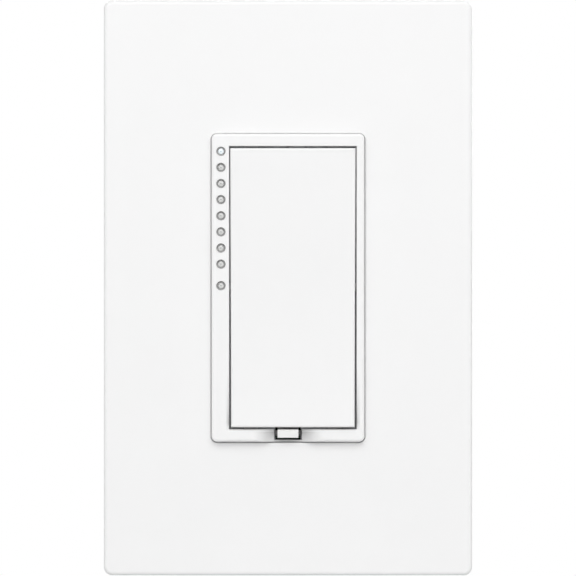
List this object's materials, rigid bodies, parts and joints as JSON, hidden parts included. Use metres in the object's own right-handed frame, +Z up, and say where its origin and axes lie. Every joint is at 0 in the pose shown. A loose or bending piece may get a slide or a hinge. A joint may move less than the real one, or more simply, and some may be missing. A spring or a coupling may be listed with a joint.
{
  "type": "smart dimmer switch",
  "caption": "Wall-box dimmer switch with a screwless plate, framed rocker paddle, column of indicator lights, pull-out set button, heat-sink strap and rear housing.",
  "frame": {"origin": "midway between the two box screw holes, on the rear face of the mounting strap, which is the wall plane", "axes": "+Y into the wall, the face looks along -Y, +Z up, +X to the right seen from the front"},
  "size_m": [0.0794, 0.0407, 0.1239],
  "materials": {
    "plate_plastic": "moulded white plastic, fine satin gloss",
    "bezel_plastic": "moulded white plastic",
    "paddle_plastic": "moulded white plastic",
    "button_plastic": "moulded white plastic",
    "subframe_plastic": "moulded white plastic, matt",
    "light_pipe": "clear moulded plastic",
    "strap_metal": "punched sheet, brushed",
    "liner_film": "black film",
    "board_laminate": "green solder mask",
    "lamp_resin": "clear resin",
    "switch_plastic": "black moulded plastic",
    "plunger_plastic": "moulded plastic",
    "chip_resin": "moulded black resin",
    "shield_tin": "tinned sheet",
    "contact_brass": "punched brass",
    "copper_wire": "enamelled copper",
    "core_ferrite": "pressed ferrite",
    "capacitor_sleeve": "shrink sleeve",
    "capacitor_box": "moulded box",
    "varistor_coating": "dipped coating",
    "fuse_case": "moulded case",
    "housing_plastic": "moulded black plastic, fine spark texture",
    "screw_steel": "zinc plated",
    "screw_white": "white painted head",
    "ground_green": "green finish"
  },
  "bodies": {
    "device": {"wallplate_cover": "plate_plastic", "wallplate_subframe": "subframe_plastic", "plate_screw_top": "screw_white", "plate_screw_bottom": "screw_white", "bezel": "bezel_plastic", "level_light_pipes": "light_pipe", "status_light_pipe": "light_pipe", "air_gap_contact_left": "contact_brass", "air_gap_contact_right": "contact_brass", "mounting_strap": "strap_metal", "insulating_liner": "liner_film", "control_board": "board_laminate", "brighten_switch": "switch_plastic", "dim_switch": "switch_plastic", "set_switch": "switch_plastic", "processor": "chip_resin", "radio_shield": "shield_tin", "board_header": "switch_plastic", "power_board": "board_laminate", "choke_core": "core_ferrite", "choke_winding": "copper_wire", "bulk_capacitor": "capacitor_sleeve", "film_capacitor": "capacitor_box", "varistor": "varistor_coating", "fuse": "fuse_case", "triac": "chip_resin", "triac_rivet": "strap_metal", "rear_housing": "housing_plastic", "ground_screw": "ground_green", "level_lamp_1": "lamp_resin", "level_lamp_2": "lamp_resin", "level_lamp_3": "lamp_resin", "level_lamp_4": "lamp_resin", "level_lamp_5": "lamp_resin", "level_lamp_6": "lamp_resin", "level_lamp_7": "lamp_resin", "level_lamp_8": "lamp_resin", "status_lamp": "lamp_resin", "housing_screw_top_left": "screw_steel", "housing_screw_top_right": "screw_steel", "housing_screw_bottom_left": "screw_steel", "housing_screw_bottom_right": "screw_steel", "line_terminal": "contact_brass", "line_terminal_screw": "contact_brass", "load_terminal": "contact_brass", "load_terminal_screw": "contact_brass", "neutral_terminal": "contact_brass", "neutral_terminal_screw": "contact_brass", "traveller_terminal": "contact_brass", "traveller_terminal_screw": "contact_brass"},
    "paddle": {"paddle": "paddle_plastic"},
    "set_button": {"set_button": "button_plastic", "air_gap_blade": "contact_brass"},
    "brighten_plunger": {"brighten_plunger": "plunger_plastic"},
    "dim_plunger": {"dim_plunger": "plunger_plastic"},
    "set_plunger": {"set_plunger": "plunger_plastic"}
  },
  "joints": [
    {"name": "paddle_rock", "type": "hinge", "parent": "device", "child": "paddle", "pos_m": [0, -0.0049, 0], "axis": [1, 0, 0], "range_deg": [-2, 2], "stiffness_Nm_per_rad": 0.5},
    {"name": "set_button_slide", "type": "slide", "parent": "device", "child": "set_button", "axis": [0, -1, 0], "range_m": [-0.0006, 0.003]},
    {"name": "brighten_press", "type": "slide", "parent": "device", "child": "brighten_plunger", "axis": [0, 1, 0], "range_m": [0, 0.00025], "stiffness_N_per_m": 50},
    {"name": "dim_press", "type": "slide", "parent": "device", "child": "dim_plunger", "axis": [0, 1, 0], "range_m": [0, 0.00025], "stiffness_N_per_m": 50},
    {"name": "set_press", "type": "slide", "parent": "device", "child": "set_plunger", "axis": [0, 1, 0], "range_m": [0, 0.00025], "stiffness_N_per_m": 50}
  ]
}
